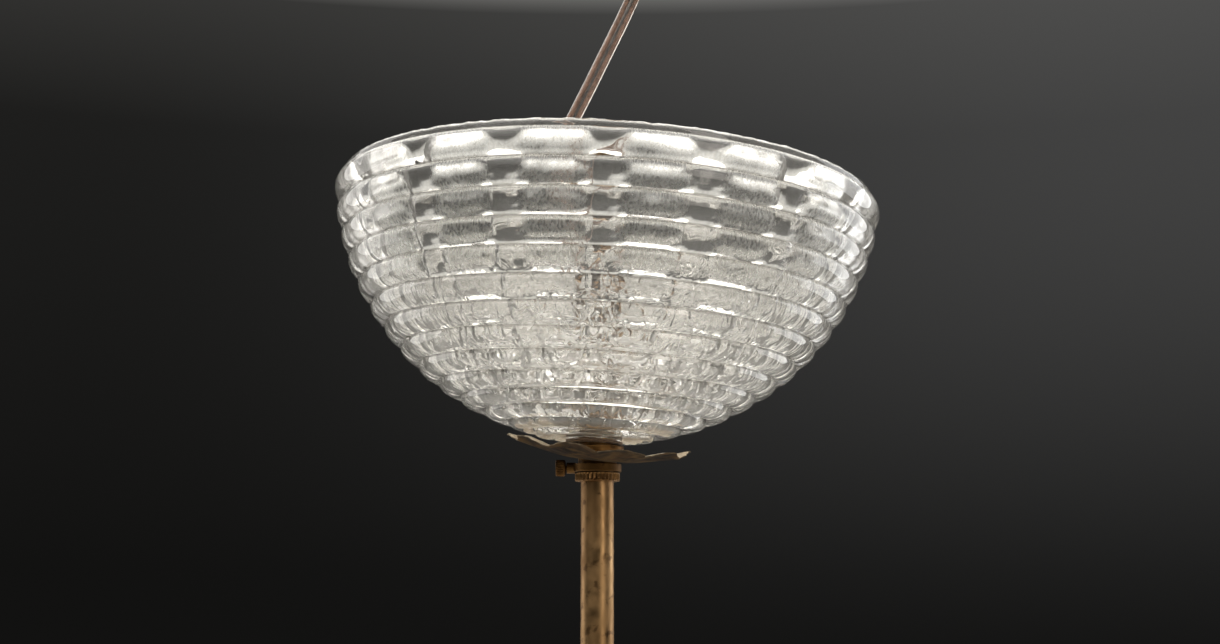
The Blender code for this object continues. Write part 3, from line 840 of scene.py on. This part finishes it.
def petal_cup():
    """A thin pressed dish with ten petals, each arched over its middle, ragged and bent a little."""
    around, rows = PETALS * 26, 24
    hole = 0.0077
    sheet = 0.0002
    theta = np.arange(around) * TAU / around
    crest = np.abs(np.cos(PETALS * theta / 2))
    edge = CUP_R * (0.86 + 0.14 * crest**0.55)
    edge = edge + 0.0005 * np.sin(23 * theta) * np.sin(5 * theta + 1) + 0.0003 * np.sin(61 * theta)
    share = np.linspace(0, 1, rows)[:, None]
    radius = hole + (edge - hole) * share
    climb = np.clip((radius - 0.011) / 0.022, 0, 1)
    sides, left, front = np.cos(2 * theta), -np.cos(theta), -np.sin(theta)
    lift = (0.0045 + 0.0010 * sides + 0.0001 * left + 0.0015 * front) * climb**1.3
    arch = 0.0016 * (crest**1.5 - 0.5) * climb**1.6
    ruffle = 0.0004 * (np.sin(3 * theta + 0.2) + np.sin(7 * theta + 0.9)) * climb**2
    veins = 0.00010 * np.cos(PETALS * 6 * theta) * climb
    curl = -0.0004 * np.clip((share - 0.82) / 0.18, 0, 1) ** 2 * crest
    height = lift + arch + ruffle + veins + curl
    upper = round_about(radius, height + sheet, theta)
    lower = round_about(radius, height - sheet, theta)
    points = np.concatenate([upper, lower[::-1]])
    obj = grid_object("petal_dish", points, True, where=tilt_about(CUP_SEAT, CUP_ROLL, CUP_PITCH))
    finish_piece(obj, "petal_cup", "aged_brass", "petal_brass", ["petal_cup"], 50)


def collar_stack():
    sleeve = turned("sleeve", ring_profile(0.0073, 0.00975, -0.2222, -0.2199, 0.0004), 96)
    finish_piece(sleeve, "canopy", "dark_brass", None, ["neck_sleeve"])

    nut = with_steps(ring_profile(0.0073, 0.0115, -0.2099, -0.2062, 0.0005), 0.0004)
    obj = turned("nut_knurled", nut, 44 * 6, knurl(44, 0.00035, -0.2095, -0.2066))
    finish_piece(obj, "ring_nut", "aged_brass", None, ["inner_ring_nut"])

    neck = eased(
        [
            (0.0070, -0.2045), (0.0070, -0.2262), (0.00875, -0.2262),
            (0.00875, -0.2291), (0.0063, -0.2291), (0.0063, -0.2045),
        ],
        0.0003,
    )
    neck = with_steps(neck, 0.00012)
    cuts = thread(0.0010, 0.0003, -0.2185, -0.2050)
    obj = turned("collar", neck, 96, lambda r, z, a: np.where(r < 0.0072, cuts(r, z, a), r))
    boss = rod("boss", 0.0020, (-0.0095, 0, THUMB_Z), (1, 0, 0), 0.0034, ease=0.0003)
    cut(obj, boss, "UNION")
    cut(obj, rod("hole", 0.0011, (-0.010, 0, THUMB_Z), (1, 0, 0), 0.010))
    finish_piece(obj, "canopy", "dark_brass", None, ["stop_collar"])

    ring = with_steps(ring_profile(0.0063, 0.0081, -0.2325, -0.2294, 0.0004), 0.0003)
    obj = turned("ring_knurled", ring, 36 * 6, knurl(36, 0.00045, -0.2322, -0.2297))
    finish_piece(obj, "lock_ring", "aged_brass", "ring_brass", ["knurled_ring"])


def thumb_screw():
    lay = Matrix.Translation((0, 0, THUMB_Z)) @ Matrix.Rotation(math.radians(-90), 4, "Y")
    head = 0.0115
    profile = eased(
        [
            (0, head + 0.0036), (0.0030, head + 0.0036), (0.0030, head + 0.0004), (0.0022, head),
            (0.0008, head), (0.0008, 0.0063), (0, 0.0063),
        ],
        0.0003,
        closed=False,
    )
    profile = with_steps(profile, 0.0003, closed=False)
    grip = knurl(24, 0.0003, head + 0.0005, head + 0.0033)
    obj = turned("screw_knurled", profile, 24 * 6, grip, False, lay)
    slot = box_mesh("slot", (-head - 0.0046, -0.0004, -0.2320), (-head - 0.0028, 0.0004, -0.2230))
    cut(obj, slot)
    finish_piece(obj, "thumb_screw", "dark_brass", None, ["thumb_screw"])


def box_mesh(name, low, high):
    low, high = Vector(low), Vector(high)
    work = bmesh.new()
    place = Matrix.Translation((low + high) / 2) @ Matrix.Diagonal((*(high - low), 1))
    bmesh.ops.create_cube(work, size=1, matrix=place)
    mesh = bpy.data.meshes.new(name)
    work.to_mesh(mesh)
    work.free()
    obj = bpy.data.objects.new(name, mesh)
    bpy.context.scene.collection.objects.link(obj)
    return obj


# ---------------------------------------------------------------- stem, loop and flex


def stem():
    profile = eased(
        [(STEM_R, STEM_TOP), (STEM_R, STEM_BOTTOM), (0.005, STEM_BOTTOM), (0.005, STEM_TOP)], 0.0003
    )
    pipe = turned("pipe", with_steps(profile, 0.008), 96)
    cut(pipe, rod("hole", 0.0017, (0, 0, LOOP_Z), (0, 1, 0), 0.03))
    finish_piece(pipe, "stem", "aged_brass", "stem_brass", ["stem_tube"])

    low = STEM_TOP + GAP
    foot = STEM_TOP - 0.0035
    bush = eased(
        [
            (0.0050, BUSH_TOP), (0.0066, low + 0.0012), (0.0066, low), (0.0047, low), (0.0047, foot),
            (CORD_HOLE_R, foot), (CORD_HOLE_R, BUSH_TOP - 0.0006), (0.0036, BUSH_TOP),
        ],
        0.0003,
    )
    finish_piece(turned("bush", bush, 96), "stem", "aged_brass", None, ["stem_top_bush"])


def hang_loop():
    end, span, bend, length = 0.0046, 0.0092, 0.0016, 0.022
    side = [(0, end, 0), (0, 0.0060, 0), (0, span - bend, 0)]
    corner = [math.radians(a) for a in range(15, 91, 15)]
    side += [(0, span - bend + bend * math.sin(a), bend - bend * math.cos(a)) for a in corner]
    shoulder = length - span
    half_turn = [math.radians(a) for a in range(0, 181, 6)]
    bow = [(0, span * math.cos(a), shoulder + span * math.sin(a)) for a in half_turn]
    path = side + bow + [(x, -y, z) for x, y, z in reversed(side)]
    obj = wire("loop_wire", path, 0.0014, (1, 0, 0), 24, tilt_about(LOOP_Z, LOOP_FOLD))
    finish_piece(obj, "loop", "aged_brass", None, ["hang_loop"])


def flex_side(share):
    """The flat lead turns its edge to the front inside the bowl and its face to it above the rim."""
    turned_back = min(1.0, max(0.0, (share - 0.22) / 0.28))
    turn = math.radians(78) * (1 - turned_back)
    return (math.cos(turn), math.sin(turn), 0)


def flex_section(share, length):
    """Two round cores side by side with a shallow valley between them."""
    half = FLEX_THICK / 2
    offset = FLEX_WIDTH / 2 - half
    angles = np.linspace(-0.62 * math.pi, 0.62 * math.pi, 19)
    right = [(offset + half * math.cos(a), half * math.sin(a)) for a in angles]
    left = [(-u, -v) for u, v in right]
    return right + left


def flex():
    path = smooth_route(FLEX_ROUTE, 0.0012)
    lead = swept("flex", path, flex_section, flex_side)
    finish_piece(lead, "stem", "clear_flex", None, ["flex_lead"], 70)
    offset = FLEX_WIDTH / 2 - FLEX_THICK / 2
    for index, side in enumerate((-1, 1), 1):

        def strands(share, length, side=side):
            lobes, count = 9, 54
            points = []
            for k in range(count):
                a = TAU * k / count
                r = 0.00070 + 0.00007 * math.cos(lobes * (a - side * 420 * length))
                points.append((side * offset + r * math.cos(a), r * math.sin(a)))
            return points

        core = swept(f"strands_{index}", path[1:-1], strands, flex_side)
        finish_piece(core, "stem", "clear_flex", "copper")


# ---------------------------------------------------------------- ceiling fitting


def ceiling_cup():
    wall, corner = 0.0012, 0.0055
    rim, floor = CEILING_CUP_R, -CEILING_CUP_H
    outer = [(rim, -GAP), (rim, floor), (0.0004, floor)]
    inner = [(0.0004, floor + wall), (rim - wall, floor + wall), (rim - wall, -GAP)]
    outer = eased(outer, corner, closed=False, pieces=8)
    inner = eased(inner, corner - wall, closed=False, pieces=8)
    cup = turned("cup_spun", with_steps(outer + inner, 0.0012), 128)
    holes = ((0.0053, GRIP_X, 0), (0.0019, 0, -CUP_SCREW_Y), (0.0019, 0, CUP_SCREW_Y))
    for radius, x, y in holes:
        cut(cup, rod("hole", radius, (x, y, floor), (0, 0, 1), 0.01))
    finish_piece(cup, "stem", "aged_brass", None, ["ceiling_cup"])


def cup_screws():
    head = -CEILING_CUP_H - GAP
    profile = eased(
        [
            (0, head - 0.0022), (0.0022, head - 0.0019), (0.0036, head - 0.0004), (0.0036, head),
            (0.0013, head), (0.0013, -0.0006), (0, -0.0006),
        ],
        0.0003,
        closed=False,
    )
    profile = with_steps(profile[::-1], 0.0004, False)
    cuts = thread(0.0007, 0.0002, head + 0.001, -0.001)
    for index, y in enumerate((-CUP_SCREW_Y, CUP_SCREW_Y), 1):
        place = Matrix.Translation((0, y, 0))
        screw = turned(f"cup_screw_head_{index}", profile, 48, cuts, False, place)
        slot = box_mesh("slot", (-0.005, y - 0.0004, head - 0.003), (0.005, y + 0.0004, head - 0.0012))
        cut(screw, slot)
        finish_piece(screw, "stem", "aged_brass", None, [f"cup_screw_{index}"])


def cord_grip():
    place = Matrix.Translation((GRIP_X, 0, 0))
    flange = -CEILING_CUP_H - GAP
    body = eased(
        [
            (0.0050, -0.0125), (0.0050, flange), (0.0078, flange), (0.0078, flange - 0.0025),
            (0.0052, flange - 0.0035), (0.0052, flange - 0.0085), (CORD_HOLE_R, flange - 0.0085),
            (CORD_HOLE_R, -0.0125),
        ],
        0.0003,
    )
    cuts = thread(0.0010, 0.0003, flange + 0.001, -0.013)
    obj = turned("grip_body", with_steps(body, 0.0003), 72, cuts, where=place)
    finish_piece(obj, "stem", "white_plastic", None, ["cord_grip_body"])

    cap = eased(
        [
            (0.0070, flange - 0.0038), (0.0073, flange - 0.0085), (0.0062, GRIP_BOTTOM + 0.0008),
            (0.0045, GRIP_BOTTOM), (CORD_HOLE_R, GRIP_BOTTOM), (CORD_HOLE_R, flange - 0.0090),
            (0.0055, flange - 0.0088), (0.0055, flange - 0.0038),
        ],
        0.0004,
    )
    ribs = knurl(14, 0.0006, GRIP_BOTTOM + 0.003, flange - 0.0045)
    obj = turned("grip_cap", with_steps(cap, 0.0004), 14 * 8, ribs, where=place)
    finish_piece(obj, "stem", "white_plastic", None, ["cord_grip_cap"])


# ---------------------------------------------------------------- lampholder and bulb


def holder_cap():
    wall = 0.0010
    outer = [
        (0.0072, CAP_TOP), (0.0080, CAP_TOP - 0.0006), (0.0086, CAP_TOP - 0.0040),
        (0.0110, CAP_TOP - 0.0068), (0.0132, CAP_TOP - 0.0096), (CAP_R, CAP_TOP - 0.0130),
        (CAP_R, CAP_BOTTOM),
    ]
    inner = [
        (CAP_R - wall, CAP_BOTTOM), (CAP_R - wall, CAP_TOP - 0.0132), (0.0123, CAP_TOP - 0.0103),
        (0.0102, CAP_TOP - 0.0076), (0.0076, CAP_TOP - 0.0046), (0.0071, CAP_TOP - wall),
        (0.0050, CAP_TOP - wall), (0.0050, CAP_TOP),
    ]
    middle = CAP_BOTTOM + 0.0022

    def bead(radius, height, angle):
        bump = np.clip(1 - ((height - middle) / 0.001) ** 2, 0, 1) ** 0.5
        return radius + 0.0006 * bump * (radius > CAP_R - 0.0003)

    cap = turned("cap_spun", with_steps(eased(outer + inner, 0.0012), 0.0003), 112, bead)
    finish_piece(cap, "stem", "aged_brass", None, ["lampholder_cap"])


def holder_skirt():
    bore = SHELL_R - 0.0010
    top = CAP_BOTTOM - GAP
    shell = eased([(SHELL_R, top), (SHELL_R, SHELL_BOTTOM), (bore, SHELL_BOTTOM), (bore, top)], 0.0004)
    ribs = knurl(40, 0.0004, CAP_BOTTOM - 0.0042, CAP_BOTTOM - 0.0010)
    screw = thread(0.0024, 0.0006, SHELL_BOTTOM + 0.002, -0.3560)

    def ribs_and_screw(radius, height, angle):
        return screw(ribs(radius, height, angle), height, angle)

    obj = turned("shell_threaded", with_steps(shell, 0.0004), 40 * 5, ribs_and_screw)
    finish_piece(obj, "holder_skirt", "aged_brass", None, ["lampholder_shell"])

    high, low = -0.3640, -0.3700
    bore, rim = SHELL_R + GAP, SHELL_R + 0.0032
    ring = eased([(rim, high), (rim, low), (bore, low), (bore, high)], 0.0010)
    ribs = knurl(48, 0.0005, low + 0.001, high - 0.001)
    obj = turned("ring_ribbed", with_steps(ring, 0.0004), 48 * 5, ribs)
    finish_piece(obj, "shade_ring", "aged_brass", None, ["holder_ring"])


def holder_insert():
    base = INSERT_TOP - 0.0052
    insert = eased(
        [
            (0.0124, INSERT_TOP), (0.0124, -0.3745), (0.0088, -0.3745), (0.0088, base),
            (0.0003, base), (0.0003, INSERT_TOP),
        ],
        0.0005,
    )
    obj = turned("insert_glazed", with_steps(insert, 0.0015), 96)
    finish_piece(obj, "stem", "porcelain", None, ["lampholder_insert"])

    top, low = base - GAP, -0.3740
    shell = eased([(0.0085, top), (0.0085, low), (0.0076, low), (0.0076, top)], 0.0002)
    cuts = thread(SCREW_PITCH, 0.0004, low + 0.0005, base - 0.001, inner=True)
    obj = turned("shell_rolled", with_steps(shell, 0.00035), 96, cuts)
    finish_piece(obj, "stem", "aged_brass", None, ["screw_shell"])


def bulb_blown():
    neck, thick = 0.0062, 0.0006
    turn = math.asin((neck + 0.0018) / BULB_R)
    outer = [(neck, BULB_CAP_BOTTOM + 0.0060), (neck, -0.3805), (neck + 0.0006, -0.3850)]
    angles = np.linspace(turn + 0.12, math.pi - 0.02, 40)
    outer += [(BULB_R * math.sin(a), BULB_CENTRE + BULB_R * math.cos(a)) for a in angles]
    inner = []
    for r, z in outer[::-1]:
        inward = thick * (0.3 if z < BULB_CENTRE - 0.018 else 1)
        upward = thick if z < BULB_CENTRE - 0.012 else 0
        inner.append((max(0.0004, r - inward), z + upward))
    smooth_outer = eased(outer, 0.004, closed=False, pieces=4)
    smooth_inner = eased(inner, 0.004, closed=False, pieces=4)
    obj = turned("bulb_blown", smooth_outer + smooth_inner, 112)
    finish_piece(obj, "bulb", "bulb_glass", None, ["bulb_glass"], 60)


def bulb_cap():
    top = BULB_TIP - 0.0010 - 0.0022 - 2 * GAP
    low = BULB_CAP_BOTTOM
    cap = eased(
        [
            (0.0050, top), (0.0064, top - 0.0012), (0.0069, top - 0.0030), (0.0069, low), (0.0065, low),
            (0.0065, top - 0.0032), (0.0050, top - 0.0014), (0.0030, top - 0.0004), (0.0030, top),
        ],
        0.0003,
    )
    cuts = thread(SCREW_PITCH, 0.0004, low + 0.0012, top - 0.003, inner=True)
    obj = turned("cap_rolled", with_steps(cap, 0.0003), 96, cuts)
    finish_piece(obj, "bulb", "steel", None, ["bulb_cap"])


# ---------------------------------------------------------------- inner pieces keep their CAD shape


def dress_cad():
    slots = {row["node"]: row["material_slot"] for row in frame["record"]["subparts"]}
    for name, obj in frame["nodes"].items():
        material = MATERIALS[slots[name]]
        if not obj.material_slots:
            obj.data.materials.append(material)
        for slot in obj.material_slots:
            slot.material = material


bpy.context.scene.view_settings.view_transform = "Standard"
MATERIALS = make_materials()
make_camera()
make_world()
make_floor(MATERIALS["floor"])
area_light("overhead", (0.0, 0.1, 0.9), (0, 0, -0.2), (2.4, 2.4), 29, (1.0, 0.98, 0.94))
area_light("front_left", (-1.1, -1.2, 0.5), (0, 0, -0.2), (0.8, 0.8), 1.6, (1.0, 0.97, 0.93))
area_light("front_right", (0.75, -0.9, 0.0), (0, 0, -0.25), (0.35, 0.9), 2.8, (1.0, 0.93, 0.85))
area_light("left_wall", (-1.4, 0.7, 0.0), (0, 0, -0.2), (1.0, 1.4), 7, (1.0, 0.98, 0.95))
area_light("right_wall", (1.4, 0.7, 0.0), (0, 0, -0.2), (1.0, 1.4), 10, (0.98, 0.99, 1.0))
dress_cad()
flex()
glass_bowl()
washers()
petal_cup()
collar_stack()
thumb_screw()
stem()
hang_loop()
ceiling_cup()
cup_screws()
cord_grip()
holder_cap()
holder_skirt()
holder_insert()
bulb_blown()
bulb_cap()
